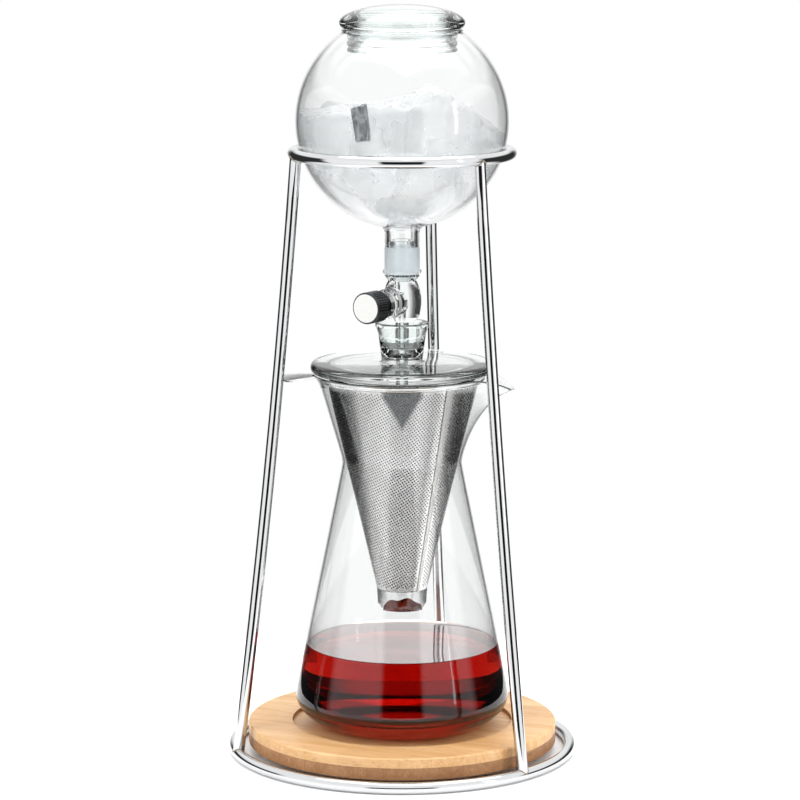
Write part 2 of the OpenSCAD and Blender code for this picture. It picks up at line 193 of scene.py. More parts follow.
def lathe(name, outline, sides, limit=35):
    """Turns a closed outline of (r, z) millimetre points round the Z axis into a closed mesh."""
    work = bmesh.new()
    rings = []
    for r, z in outline:
        if r < 1e-6:
            rings.append([work.verts.new((0, 0, mm(z)))])
            continue
        turn = [2 * math.pi * j / sides for j in range(sides)]
        rings.append([work.verts.new(mm(r * math.cos(a), r * math.sin(a), z)) for a in turn])
    for i, ring in enumerate(rings):
        after = rings[(i + 1) % len(rings)]
        if len(ring) == 1 and len(after) == 1:
            continue
        for j in range(sides):
            k = (j + 1) % sides
            corners = [ring[j % len(ring)], ring[k % len(ring)], after[k % len(after)], after[j % len(after)]]
            corners = list(dict.fromkeys(corners))
            if len(corners) > 2:
                work.faces.new(corners)
    return to_mesh(work, name, limit=limit)


def tube(work, path, radius, sides=10):
    """Sweeps a round section along a closed path of points."""
    count = len(path)
    rings = []
    for i, point in enumerate(path):
        ahead = (path[(i + 1) % count] - path[i - 1]).normalized()
        side = ahead.cross(Vector((0, 0, 1)))
        side = side.normalized() if side.length > 1e-6 else Vector((1, 0, 0))
        up = side.cross(ahead)
        rings.append([work.verts.new(point + radius * (side * math.cos(a) + up * math.sin(a)))
                      for a in (2 * math.pi * j / sides for j in range(sides))])
    for i in range(count):
        after = rings[(i + 1) % count]
        for j in range(sides):
            k = (j + 1) % sides
            work.faces.new((rings[i][j], rings[i][k], after[k], after[j]))


def place(name, mesh, body, materials, replaces=()):
    """Puts a finished mesh in the scene as a piece that rides on a body."""
    made = bpy.data.objects.new(name, mesh)
    bpy.context.scene.collection.objects.link(made)
    for material in materials:
        mesh.materials.append(material)
    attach(made, body)
    if replaces:
        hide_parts(*replaces)
    return made


def baked(holder, name):
    """What an object's modifiers make of its mesh, as a plain mesh. The object itself is taken away."""
    bpy.context.view_layer.update()
    shown = holder.evaluated_get(bpy.context.evaluated_depsgraph_get())
    mesh = bpy.data.meshes.new_from_object(shown)
    bpy.data.objects.remove(holder)
    mesh.name = name
    return mesh


def finish_nodes(material, *names):
    """Gives CAD nodes of the right shape their finish."""
    for name in names:
        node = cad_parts[name]
        node.data.materials.clear()
        node.data.materials.append(material)


# ---- Materials ----

def new_material(name, **values):
    """A material with one Principled shader, and the tree, shader and object coordinates to build on."""
    made = bpy.data.materials.new(name)
    made.use_nodes = True
    tree = made.node_tree
    shader = tree.nodes["Principled BSDF"]
    for key, value in values.items():
        shader.inputs[key].default_value = value
    where = add_node(tree, "ShaderNodeTexCoord").outputs["Object"]
    return made, tree, shader, where


def stretched(tree, where, scale, turn=(0, 0, 0)):
    """Object coordinates scaled, and turned, so that a noise is drawn out along one axis."""
    made = add_node(tree, "ShaderNodeMapping", {"Scale": scale, "Rotation": turn}, {"Vector": where})
    return made.outputs["Vector"]


def mottle(tree, where, scale, detail, **more):
    """A soft noise from 0 to 1 over the surface."""
    made = add_node(tree, "ShaderNodeTexNoise", {"Scale": scale, "Detail": detail, **more}, {"Vector": where})
    return made.outputs["Fac"]


def bump(tree, shader, height, distance, strength):
    made = add_node(tree, "ShaderNodeBump", {"Distance": mm(distance), "Strength": strength},
                    {"Height": height})
    feed(tree, shader.inputs["Normal"], made.outputs["Normal"])


def roughen(tree, shader, value, low, high):
    """Spreads a 0 to 1 value over a range of roughness."""
    feed(tree, shader.inputs["Roughness"], ranged(tree, value, 0.0, 1.0, low, high))


def paint(tree, shader, colour):
    feed(tree, shader.inputs["Base Color"], colour)


def polished_steel():
    """Stainless round rod, drawn and polished: bright mirror bands, with faint draw lines and wiped marks."""
    made, tree, shader, where = new_material("polished_stainless_rod", **{
        "Base Color": srgb("#D2D3D4"), "Metallic": 1.0})
    roughen(tree, shader, mottle(tree, where, 55.0, 4.0), 0.04, 0.1)
    bump(tree, shader, mottle(tree, stretched(tree, where, (1800, 1800, 60)), 1.0, 2.0), 0.02, 0.15)
    return made


def weld_steel():
    """The weld seams: steel that ran and was brushed, duller than the rod, with a straw-coloured tint."""
    made, tree, shader, where = new_material("brushed_weld_seam", Metallic=1.0)
    tint = mottle(tree, where, 300.0, 3.0)
    paint(tree, shader, blend(tree, tint, srgb("#A79F92"), srgb("#8D7B62")))
    roughen(tree, shader, tint, 0.25, 0.45)
    bump(tree, shader, tint, 0.2, 0.6)
    return made


def bamboo(name, pale, deep, line, turn, strip_mm=19):
    """Bamboo board, glued from strips and oiled: each strip a little lighter or darker, with fine long fibres
    and short dark pores."""
    made, tree, shader, where = new_material(name)
    along = stretched(tree, where, (1, 1, 1), (0, 0, math.radians(turn)))
    strips = add_node(tree, "ShaderNodeTexBrick", {
        "Color1": (0, 0, 0, 1), "Color2": (1, 1, 1, 1), "Mortar": (0.5, 0.5, 0.5, 1), "Scale": 1.0,
        "Brick Width": mm(210), "Row Height": mm(strip_mm), "Mortar Size": mm(0.12), "Mortar Smooth": 0.3},
        {"Vector": along}, offset=0.37)
    fibres = mottle(tree, stretched(tree, along, (26, 620, 420)), 1.0, 5.0, Roughness=0.6)
    bands = mottle(tree, stretched(tree, along, (7, 90, 60)), 1.0, 2.0)
    pores = mottle(tree, stretched(tree, along, (110, 1500, 900)), 1.0, 1.0)
    streaks = ranged(tree, calc(tree, "ADD", fibres, bands), 0.72, 1.28)
    wood = blend(tree, streaks, srgb(pale), srgb(deep))
    wood = blend(tree, calc(tree, "MULTIPLY", strips.outputs["Color"], 0.34), wood, srgb(line))
    wood = blend(tree, ranged(tree, pores, 0.62, 0.72, 0.0, 0.55), wood, srgb(line))
    wood = blend(tree, calc(tree, "MULTIPLY", strips.outputs["Fac"], 0.5), wood, srgb(line))
    paint(tree, shader, wood)
    roughen(tree, shader, fibres, 0.36, 0.55)
    bump(tree, shader, fibres, 0.12, 0.35)
    return made


def clear_glass(name, tint, waves_mm, wave_scale, ior=GLASS_IOR, strength=0.25):
    """Borosilicate glass, blown or pressed and fire polished: clear, with the faint waves of worked glass."""
    made, tree, shader, where = new_material(name, **{
        "Base Color": srgb(tint), "Roughness": 0.0, "IOR": ior, "Transmission Weight": 1.0})
    bump(tree, shader, mottle(tree, where, wave_scale, 1.0), waves_mm, strength)
    return made


def wetted_glass():
    """The carafe's inner skin below the coffee's level: light goes from glass straight into coffee here, so
    it bends by the ratio of the two."""
    return clear_glass("wetted_carafe_glass", "#FCFDFD", 0.03, 16.0, GLASS_IOR / COFFEE_IOR, 0.2)


def ground_glass():
    """The ground faces of the joint: glass cut with fine grit, so it scatters and looks frosted, and a
    painted glow makes it pale.
    """
    # Painted glow: the emission makes the ground faces give off a faint bluish white light.
    made, tree, shader, where = new_material("ground_joint_glass", **{
        "Base Color": srgb("#F4FAFD"), "IOR": GLASS_IOR, "Transmission Weight": 0.5,
        "Emission Color": srgb("#E9F5FA"), "Emission Strength": 0.24})
    grit = mottle(tree, where, 2600.0, 2.0)
    roughen(tree, shader, grit, 0.3, 0.5)
    bump(tree, shader, grit, 0.05, 0.6)
    return made


def satin_steel(name, colour, low, high, scale, height=0.03):
    """Stainless steel, pressed or turned, satin: soft reflections, with a fine grain."""
    made, tree, shader, where = new_material(name, **{"Base Color": srgb(colour), "Metallic": 1.0})
    grain = mottle(tree, stretched(tree, where, scale), 1.0, 3.0)
    roughen(tree, shader, grain, low, high)
    bump(tree, shader, grain, height, 0.3)
    return made


# Degrees from the front to the right, and the share of light painted into the filter's sheet there as
# reflection bands.
PAINTED_SHEET_REFLECTIONS = (
    (-62, 0.36), (-42, 0.52), (-26, 0.56), (-14, 0.66), (14, 0.64), (24, 0.46), (38, 1.0), (50, 0.86))


def etched_sheet(top):
    """The etched cone, satin. Its colour carries painted reflections: upright bands of light and dark, with
    painted shade that makes them weaker towards its foot in front, and a painted shadow of the drip cup
    above, dark on the front of its rim. The back mirrors the front."""
    made, tree, shader, where = new_material("etched_sheet_painted_light", Metallic=1.0)
    spot = add_node(tree, "ShaderNodeSeparateXYZ", None, {0: where}).outputs
    turn = calc(tree, "ARCTAN2", spot["X"], calc(tree, "ABSOLUTE", spot["Y"]))
    # Painted reflection: the ramp gives the sheet upright bands of light and dark round the cone.
    ramp = add_node(tree, "ShaderNodeValToRGB", None, {
        "Fac": ranged(tree, turn, -math.pi / 2, math.pi / 2)})
    stops = ramp.color_ramp.elements
    for azimuth, light in PAINTED_SHEET_REFLECTIONS:
        stops.new((azimuth + 90) / 180).color = (light, light * 0.985, light * 0.975, 1)
    # The two ends of the painted reflection bands, at the sheet's two sides.
    stops[0].color = (0.3, 0.3, 0.3, 1)
    stops[-1].color = (0.66, 0.66, 0.67, 1)
    side = calc(tree, "ABSOLUTE", turn)
    # Painted shade: in front, the painted bands fade to dark grey towards the sheet's foot.
    front = ranged(tree, side, 0.28, 0.42, 1.0, 0.0)
    foot = ranged(tree, spot["Z"], top - mm(48), top - mm(72), 0.0, 0.42)
    painted_reflection_and_shade = blend(tree, calc(tree, "MULTIPLY", front, foot), ramp.outputs[0], (0.23, 0.22, 0.215, 1))
    # Painted shadow of the drip cup: a dark V in #1E2A31 on the front of the sheet, under its rim.
    reach = ranged(tree, spot["Z"], top - mm(26), top - mm(4), 0.0, 0.3)
    cup = ranged(tree, calc(tree, "SUBTRACT", reach, side), 0.0, 0.07, 0.0, 0.92)
    paint(tree, shader, blend(tree, cup, painted_reflection_and_shade, srgb("#1E2A31")))
    grain = mottle(tree, where, 500.0, 3.0)
    roughen(tree, shader, grain, 0.2, 0.34)
    bump(tree, shader, grain, 0.03, 0.3)
    return made


def painted_coffee_reflection():
    """A painted reflection of the brewed coffee in the polished cap, drawn as a coat of coffee on the steel:
    mottled from dark red to a brighter red.
    """
    made, tree, shader, where = new_material("painted_coffee_reflection", **{"Roughness": 0.06, "Coat Weight": 1.0})
    # The mottle spreads the painted reflection from dark red to brighter red.
    depth = mottle(tree, where, 260.0, 2.0)
    share = ranged(tree, depth, 0.0, 1.0, -0.5, 1.1)
    paint(tree, shader, blend(tree, share, srgb("#2A0705"), srgb("#A33318")))
    bump(tree, shader, depth, 0.2, 0.3)
    return made


def woven_mesh():
    """The fine inner mesh: woven wire. Its real pitch of about 0.1 mm is drawn at 0.5 mm, so it shows."""
    made, tree, shader, where = new_material("woven_steel_mesh", **{"Metallic": 0.6, "Roughness": 0.5})
    weave = add_node(tree, "ShaderNodeTexVoronoi", {"Scale": 1.0 / mm(0.5)}, {"Vector": where})
    paint(tree, shader, blend(tree, weave.outputs["Distance"], srgb("#121111"), srgb("#2E2C2B")))
    bump(tree, shader, weave.outputs["Distance"], 0.1, 0.5)
    return made


def moulded(name, colour, low, high, scale, **values):
    """Rubber, plastic, or anodised or faced metal: one colour, a little uneven, with a fine skin."""
    made, tree, shader, where = new_material(name, **values)
    skin = mottle(tree, where, scale, 3.0)
    darker = tuple(c * 0.82 for c in srgb(colour)[:3]) + (1.0,)
    paint(tree, shader, blend(tree, skin, darker, srgb(colour)))
    roughen(tree, shader, skin, low, high)
    bump(tree, shader, skin, 0.03, 0.3)
    return made


def brewed_coffee(colour, density, level):
    """Filtered cold brew: clear and deep red-brown. It takes up light by depth, so thin edges are bright red.
    Only its free surface bends light, under a thin bright film. The glass does that at its sides."""
    made, tree, shader, where = new_material("filtered_cold_brew", **{
        "Base Color": (1, 1, 1, 1), "Roughness": 0.0, "IOR": COFFEE_IOR, "Transmission Weight": 1.0})
    bump(tree, shader, mottle(tree, where, 14.0, 2.0), 0.1, 0.1)

    def height_of(vector):
        return add_node(tree, "ShaderNodeSeparateXYZ", None, {0: vector}).outputs["Z"]

    facing = height_of(add_node(tree, "ShaderNodeNewGeometry").outputs["True Normal"])
    level_face = calc(tree, "GREATER_THAN", calc(tree, "ABSOLUTE", facing), 0.5)
    high = calc(tree, "GREATER_THAN", height_of(where), mm(level - 3))
    film = add_node(tree, "ShaderNodeBsdfGlossy", {"Color": srgb("#FBF6F5"), "Roughness": 0.04})
    surface = add_node(tree, "ShaderNodeMixShader", {0: 0.5}, {1: shader.outputs[0], 2: film.outputs[0]})
    skin = add_node(tree, "ShaderNodeMixShader", None, {
        0: calc(tree, "MULTIPLY", level_face, high),
        1: add_node(tree, "ShaderNodeBsdfTransparent").outputs[0], 2: surface.outputs[0]})
    depth = add_node(tree, "ShaderNodeVolumeAbsorption", {"Color": tuple(colour), "Density": density})
    output = next(node for node in tree.nodes if node.type == "OUTPUT_MATERIAL")
    feed(tree, output.inputs["Surface"], skin.outputs[0])
    feed(tree, output.inputs["Volume"], depth.outputs["Volume"])
    return made


def block_ice():
    """Ice blocks, melting: wet outside and cloudy inside, with clear edges, and a painted glow that makes
    them soft white.
    """
    made, tree, shader, where = new_material("melting_block_ice", **{
        "IOR": ICE_IOR, "Transmission Weight": 0.6, "Base Color": (1, 1, 1, 1),
        "Emission Color": srgb("#F2F8FB")})
    cloud_and_glow = mottle(tree, where, 45.0, 4.0)
    roughen(tree, shader, cloud_and_glow, 0.05, 0.5)
    # Painted glow: the ice gives off a faint light of its own, stronger where the mottle is high.
    feed(tree, shader.inputs["Emission Strength"], ranged(tree, cloud_and_glow, 0.0, 1.0, 0.01, 0.2))
    bump(tree, shader, cloud_and_glow, 4.0, 0.9)
    return made


def clear_ice():
    """A splinter between the cloudy blocks, a little clear: its grey is painted shade that stands for a dark
    gap behind it.
    """
    made, tree, shader, where = new_material("clear_ice_splinter", **{
        "IOR": ICE_IOR, "Transmission Weight": 0.3, "Roughness": 0.12})
    cracks_and_shade = mottle(tree, stretched(tree, where, (260, 260, 110)), 1.0, 4.0, Distortion=1.2)
    # Painted shade: streaks of dark grey and pale grey in place of a dark gap.
    paint(tree, shader, blend(tree, ranged(tree, cracks_and_shade, 0.42, 0.62), srgb("#5F6467"), srgb("#C9CED1")))
    bump(tree, shader, cracks_and_shade, 1.0, 0.6)
    return made


def pale_floor():
    """Smooth pale paper under the object."""
    made, tree, shader, where = new_material("pale_paper_floor", Roughness=0.6)
    paint(tree, shader, blend(tree, mottle(tree, where, 30.0, 3.0), srgb("#F6F6F6"), srgb("#FAFAFA")))
    return made


# ---- Properties ----

AZIMUTH = "Degrees from the front to the right"


class TowerCarafe(bpy.types.PropertyGroup):
    height: FloatProperty(name="Height", description="Height of the carafe in millimetres", default=213.2)
    wall: FloatProperty(name="Wall", description="Wall thickness in millimetres", default=1.4)
    waist_h: FloatProperty(name="Waist height", description="Height of the waist above the base", default=160)
    waist_r: FloatProperty(name="Waist radius", description="Where the flanks would meet", default=35.3)
    belly_r: FloatProperty(name="Belly radius", description="Radius that the belly comes up to", default=64.4)
    spout_reach: FloatProperty(name="Spout reach", description="Spout tip from the axis", default=69.6)
    spout_az: FloatProperty(name="Spout direction", description=AZIMUTH, default=88)
    tab_reach: FloatProperty(name="Tab reach", description="Thumb tab's edge from the axis", default=72)
    tab_az: FloatProperty(name="Tab direction", description=AZIMUTH, default=-92)


class TowerFilter(bpy.types.PropertyGroup):
    hole_pitch: FloatProperty(name="Hole pitch", description="Distance between holes in mm", default=1.6)
    hole_share: FloatProperty(name="Hole share", description="Hole width, share of the pitch", default=0.52)
    seam_az: FloatProperty(name="Seam direction", description=AZIMUTH, default=38)


class TowerContents(bpy.types.PropertyGroup):
    coffee_level: FloatProperty(name="Coffee level", description="Height over the table in mm", default=64.6)
    coffee_colour: FloatVectorProperty(name="Coffee", description="Colour of the brewed coffee", size=4,
                                       subtype="COLOR", min=0, max=1, default=(0.81, 0.165, 0.02, 1.0))
    coffee_density: FloatProperty(name="Coffee depth", description="How fast it takes up light", default=66)
    ice_seed: IntProperty(name="Ice seed", description="Seed of the ice blocks' uneven corners", default=11)
    ice_grain: FloatProperty(name="Ice grain", description="Cell of the melted mesh in mm", default=1.1)


class TowerStage(bpy.types.PropertyGroup):
    distance: FloatProperty(name="Distance", description="Camera to the aim point in m", default=1.9643)
    pitch: FloatProperty(name="Pitch", description="How far the camera looks down",
                         default=math.radians(9.39), subtype="ANGLE")
    aim_z: FloatProperty(name="Aim height", description="Height of the aim point in m", default=0.2126)
    aim_x: FloatProperty(name="Aim offset", description="Aim point right of the axis in m", default=-0.00125)
    lens: FloatProperty(name="Lens", description="Focal length in millimetres", default=148.95)


SETTINGS = {"tower_carafe": TowerCarafe, "tower_filter": TowerFilter, "tower_contents": TowerContents,
            "tower_stage": TowerStage}


# ---- Stand ----

ROD_R = (node_top("base_ring") - node_bottom("base_ring")) / 2
BASE_RING_R = node_radius("base_ring") - ROD_R
UPPER_RING_R = node_radius("upper_ring") - ROD_R
UPPER_RING_Z = (node_top("upper_ring") + node_bottom("upper_ring")) / 2
# Degrees from the front to the right.
LEG_AZIMUTHS = (-75, 44, 165)
# A little thinner than the ring's rod, so that the curve where they meet stays closed.
LEG_R = ROD_R - mm(0.1)
LEG_BOW = mm(2.4)
WELD_R = mm(0.4)


def saddle_path(azimuth, ring_r, ring_z, slant, steps=48):
    """The closed curve where a leg, coming in at a slant, meets the ring rod."""
    a = math.radians(azimuth - 90)
    out = Vector((math.cos(a), math.sin(a), 0))
    tangent = Vector((-out.y, out.x, 0))
    leg_way = Vector((out.x * slant[0], out.y * slant[0], slant[1])).normalized()
    across = tangent.cross(leg_way)
    centre = out * ring_r + Vector((0, 0, ring_z))
    path = []
    for i in range(steps):
        b = 2 * math.pi * i / steps
        rise = math.sqrt(ROD_R ** 2 - (LEG_R * math.sin(b)) ** 2)
        bend = (LEG_R * math.cos(b)) ** 2 / (2 * ring_r)
        round_leg = LEG_R * (tangent * math.cos(b) + across * math.sin(b))
        path.append(centre + leg_way * rise + round_leg - out * bend)
    return path


class TOWER_OT_stand(bpy.types.Operator):
    """Polished rod for both rings and the three legs, with a weld seam at each of the legs' ends"""
    bl_idname = "tower.stand"
    bl_label = "Stand"

    def execute(self, context):
        finish_nodes(polished_steel(), "base_ring", "upper_ring", "left_leg", "right_leg", "rear_leg")
        height = UPPER_RING_Z - ROD_R
        lean = UPPER_RING_R - BASE_RING_R
        bow = 4 * LEG_BOW
        work = bmesh.new()
        for azimuth in LEG_AZIMUTHS:
            tube(work, saddle_path(azimuth, BASE_RING_R, ROD_R, (lean - bow, height)), WELD_R)
            tube(work, saddle_path(azimuth, UPPER_RING_R, UPPER_RING_Z, (-lean - bow, -height)), WELD_R)
        place("weld_seams", to_mesh(work, "weld_seams"), "stand", [weld_steel()])
        return {"FINISHED"}


# ---- Board ----

class TOWER_OT_board(bpy.types.Operator):
    """Oiled bamboo for the two plies of the board, and rubber for its feet"""
    bl_idname = "tower.board"
    bl_label = "Board"

    def execute(self, context):
        pale = bamboo("oiled_pale_bamboo", "#E9C493", "#CF9E66", "#A87440", 24)
        dark = bamboo("carbonised_bamboo", "#B98A5E", "#96673F", "#6B4426", -52, 24)
        finish_nodes(pale, "board_top_ply")
        finish_nodes(dark, "board_bottom_ply")
        finish_nodes(moulded("black_rubber_feet", "#242424", 0.6, 0.85, 900.0), "board_feet")
        return {"FINISHED"}


# ---- Carafe ----

# The flanks' slopes, and how softly they meet each other at the waist and the belly.
LOWER_SLOPE = 0.2045
UPPER_SLOPE = 0.298
WAIST_SOFTNESS = 0.45
BELLY_SOFTNESS = 0.6
# Heights above the carafe's base and radii, in millimetres.
CORNER_H = 19
CORNER_R = 28
FLOOR_H = 2
WAIST_LOW_H = 148
WAIST_HIGH_H = 172
SHOULDER_H = 204
FLARE_H = 7.2
FLARE_R = 2.85
# The spout starts at its root, and its nose is the half angle, in degrees, that is rounded off.
SPOUT_ROOT_H = 164
SPOUT_DROP = 11.9
SPOUT_NOSE = 6
# The thumb tab: half its width in degrees, its droop, and how far below the rim it starts and ends.
TAB_HALF = 17
TAB_DROP = 3
TAB_LOW = 1.8
TAB_HIGH = 0.4
# The wall that puts the inner floor at its height, and how far the coffee climbs the wall.
FLOOR_WALL = 1.4
MENISCUS = 1.3


def soft_max(a, b, softness):
    """The larger of two values, with a soft bend where they are equal."""
    return (a + b) / 2 + math.sqrt(((a - b) / 2) ** 2 + softness * softness)


def soft_min(a, b, softness):
    """The smaller of two values, with a soft bend where they are equal."""
    return (a + b) / 2 - math.sqrt(((a - b) / 2) ** 2 + softness * softness)


def carafe_radius(h):
    """Outer radius of the carafe at a height above its base: a round corner, a belly, two straight flanks and
    a flared rim."""
    size = bpy.context.scene.tower_carafe
    flanks = soft_max(size.waist_r + LOWER_SLOPE * (size.waist_h - h),
                      size.waist_r + UPPER_SLOPE * (h - size.waist_h), WAIST_SOFTNESS)
    corner = 0 if h >= CORNER_H else CORNER_R * (1 - math.sqrt(max(0, 1 - (1 - h / CORNER_H) ** 2)))
    flare = FLARE_R * max(0, (h - size.height + FLARE_H) / FLARE_H) ** 1.6
    return soft_min(flanks, size.belly_r, BELLY_SOFTNESS) - corner + flare


def inner_point(h, wall):
    """The inner skin beside a height on the outer one: offset along the radius, and square to the skin where
    the round corner lies flat."""
    lean = math.atan((carafe_radius(h + 0.05) - carafe_radius(h)) / 0.05) if h <= CORNER_H else 0
    height = max(h + wall * math.sin(lean), FLOOR_H + wall - FLOOR_WALL)
    return carafe_radius(h) - wall * math.cos(lean), height


def turn_from(angle, azimuth):
    """Degrees between a direction and an azimuth counted from the front."""
    d = angle - (azimuth - 90)
    return abs(d - 360 * round(d / 360))


def spout_share(angle):
    """How much of the spout's reach a direction has: seen from above, the rim is a teardrop."""
    size = bpy.context.scene.tower_carafe
    half = math.degrees(math.acos(carafe_radius(size.height) / size.spout_reach))
    d = math.sqrt(turn_from(angle, size.spout_az) ** 2 + SPOUT_NOSE ** 2) - SPOUT_NOSE / 2
    if d >= half:
        return 0
    return (1 / math.cos(math.radians(half - d)) - 1) / (1 / math.cos(math.radians(half)) - 1)


def spout_rise(h):
    height = bpy.context.scene.tower_carafe.height
    return 0 if h <= SPOUT_ROOT_H else ((h - SPOUT_ROOT_H) / (height - SPOUT_ROOT_H)) ** 2.3


def tab_share(angle, h):
    """The thumb tab: a flat tongue with a round outline and a round edge."""
    size = bpy.context.scene.tower_carafe
    low, high = size.height - TAB_LOW, size.height - TAB_HIGH
    turn = turn_from(angle, size.tab_az) / TAB_HALF
    if h < low or h > high or turn >= 1:
        return 0
    middle = abs((h - low) / (high - low) * 2 - 1)
    edge = 1 - 0.02 * (1 - math.sqrt(max(0, 1 - middle ** 2)))
    return edge * math.sqrt(1 - turn ** 4)


def steps_between(low, high, count):
    return [low + (high - low) * i / count for i in range(count + 1)]


def lower_heights():
    """Heights of the rings from the foot to the waist, closer together where the corner lies flat."""
    corner = [CORNER_H * (1 - math.cos(math.pi / 2 * i / 14)) for i in range(15)]
    return corner + steps_between(CORNER_H, WAIST_LOW_H, 34)[1:]


def carafe_mesh():
    """The wall as two skins of rings, joined by a round rim and closed by a floor."""
    size = bpy.context.scene.tower_carafe
    base = mm_of(node_bottom("carafe"))
    sides = 240
    rim_r = carafe_radius(size.height)
    low, high = size.height - TAB_LOW, size.height - TAB_HIGH
    skin = lower_heights() + steps_between(WAIST_LOW_H, WAIST_HIGH_H, 20)[1:]
    skin += steps_between(WAIST_HIGH_H, SHOULDER_H, 14)[1:] + steps_between(SHOULDER_H, low - 0.3, 8)[1:]
    tab = [low + (high - low) * share for share in (0.04, 0.14, 0.3, 0.5, 0.7, 0.86, 0.96)]
    outer = skin + [low, *tab, high, high + 0.05, size.height - 0.15]
    wet = bpy.context.scene.tower_contents.coffee_level - base + MENISCUS
    inner = sorted({*skin, wet, size.height - 1.2, size.height - 0.4}, reverse=True)
    work = bmesh.new()

    def ring(h, radius_at, lift=0.0):
        made = []
        for j in range(sides):
            angle = 360 * j / sides
            share = spout_share(angle) * spout_rise(h)
            radius = radius_at(angle, h, (size.spout_reach - rim_r) * share)
            turn = math.radians(angle)
            droop = SPOUT_DROP * share + (TAB_DROP * tab_share(angle, h) if radius_at is outside else 0)
            height = base + h + lift - droop
            made.append(work.verts.new(mm(radius * math.cos(turn), radius * math.sin(turn), height)))
        return made

    def outside(angle, h, spout):
        return carafe_radius(h) + spout + (size.tab_reach - rim_r) * tab_share(angle, h)

    def inside(angle, h, spout):
        return inner_point(h, size.wall)[0] + spout

    def rim(angle, h, spout):
        return carafe_radius(h) + spout - size.wall * 0.5

    rings = [ring(h, outside) for h in outer] + [ring(size.height, rim)]
    rings += [ring(h, inside, inner_point(h, size.wall)[1] - h) for h in inner]
    wet_from = len(outer) + 1 + inner.index(wet)
    for i, (one, two) in enumerate(zip(rings, rings[1:])):
        for j in range(sides):
            k = (j + 1) % sides
            work.faces.new((one[j], one[k], two[k], two[j])).material_index = int(i >= wet_from)
    for end, height, slot in ((rings[0], base, 0), (rings[-1], base + FLOOR_H, 1)):
        middle = work.verts.new((0, 0, mm(height)))
        for j in range(sides):
            work.faces.new((end[j], end[(j + 1) % sides], middle)).material_index = slot
    return to_mesh(work, "carafe_glass", limit=50)


class TOWER_OT_carafe(bpy.types.Operator):
    """The blown carafe, with its pouring spout, thumb tab and fire-polished rim"""
    bl_idname = "tower.carafe"
    bl_label = "Carafe"

    def execute(self, context):
        glass = clear_glass("blown_borosilicate_carafe", "#FCFDFD", 0.06, 16.0)
        place("carafe_glass", carafe_mesh(), "carafe", [glass, wetted_glass()], ["carafe"])
        return {"FINISHED"}


# ---- Carafe lid ----

# Its locating lip, its plate, the foot of its drip cup and the hole in it, in millimetres.
LIP_H = 2.4
LIP_INNER_R = 40
LIP_OUTER_R = 43
PLATE_H = 6.3
PLATE_ROUND = 2.9
CUP_FOOT_R = 12
CUP_R = 15.9
DRIP_HOLE_R = 2.5
CUP_DEPTH = 20.6


class TOWER_OT_carafe_lid(bpy.types.Operator):
    """The pressed glass lid with its drip cup"""
    bl_idname = "tower.carafe_lid"
    bl_label = "Carafe lid"

    def execute(self, context):
        low = mm_of(node_bottom("carafe_lid"))
        top = mm_of(node_top("carafe_lid"))
        plate = low + LIP_H
        plate_top = plate + PLATE_H
        edge = mm_of(node_radius("carafe_lid"))
        outline = rounded([
            (DRIP_HOLE_R, plate, 0.4), (LIP_INNER_R, plate, 0.3), (LIP_INNER_R, low, 0.4),
            (LIP_OUTER_R, low, 0.4), (LIP_OUTER_R, plate, 0.5), (edge, plate, PLATE_ROUND),
            (edge, plate_top, PLATE_ROUND), (CUP_FOOT_R, plate_top, 1.4), (14.1, top - 7.2, 2),
            (CUP_R, top - 2.4, 1.2), (CUP_R, top - 0.05, 1.0), (CUP_R - 2, top - 0.05, 0.8),
            (12.6, top - 5.5, 4), (11.4, top - 11, 4), (10.2, top - 15, 3), (8.2, top - 18.5, 2),
            (6.2, top - CUP_DEPTH, 1), (DRIP_HOLE_R, top - CUP_DEPTH, 0.6)], 7)
        glass = clear_glass("pressed_lid_glass", "#F8FCFB", 0.05, 30.0)
        mesh = lathe("lid_glass", outline, 180)
        place("lid_glass", mesh, "carafe_lid", [glass], ["carafe_lid"])
        return {"FINISHED"}


# ---- Filter ----

# The rolled sheet has no thickness, and lies this far in from the CAD sheet's outer face, in its middle.
SHEET_IN = mm(0.25)
# How wide the sheet's edges are without holes.
PLAIN_EDGE = mm(2.5)
# What the cone's node group takes, with a value for each that suits a cone of this size.
CONE_INPUTS = {
    "Top Radius": mm(44.5), "Bottom Radius": mm(15.2), "Top Height": mm(221.7), "Bottom Height": mm(98.7),
    "Hole Pitch": mm(1.15), "Hole Share": 0.5, "Seam Turn": 0.0, "Margin": mm(3)}
# The film that carries the painted reflection of the coffee in the cap: half its width and its turn in
# degrees, its height and how far up it starts, its gap to the steel and its depth, and the rows of its mesh.
FILM_HALF = 50
FILM_TURN = 2
FILM_H = mm(8.5)
FILM_LOW = mm(0.2)
FILM_GAP = mm(0.06)
FILM_DEPTH = mm(0.5)
FILM_STEPS = 26
FILM_ROWS = 8


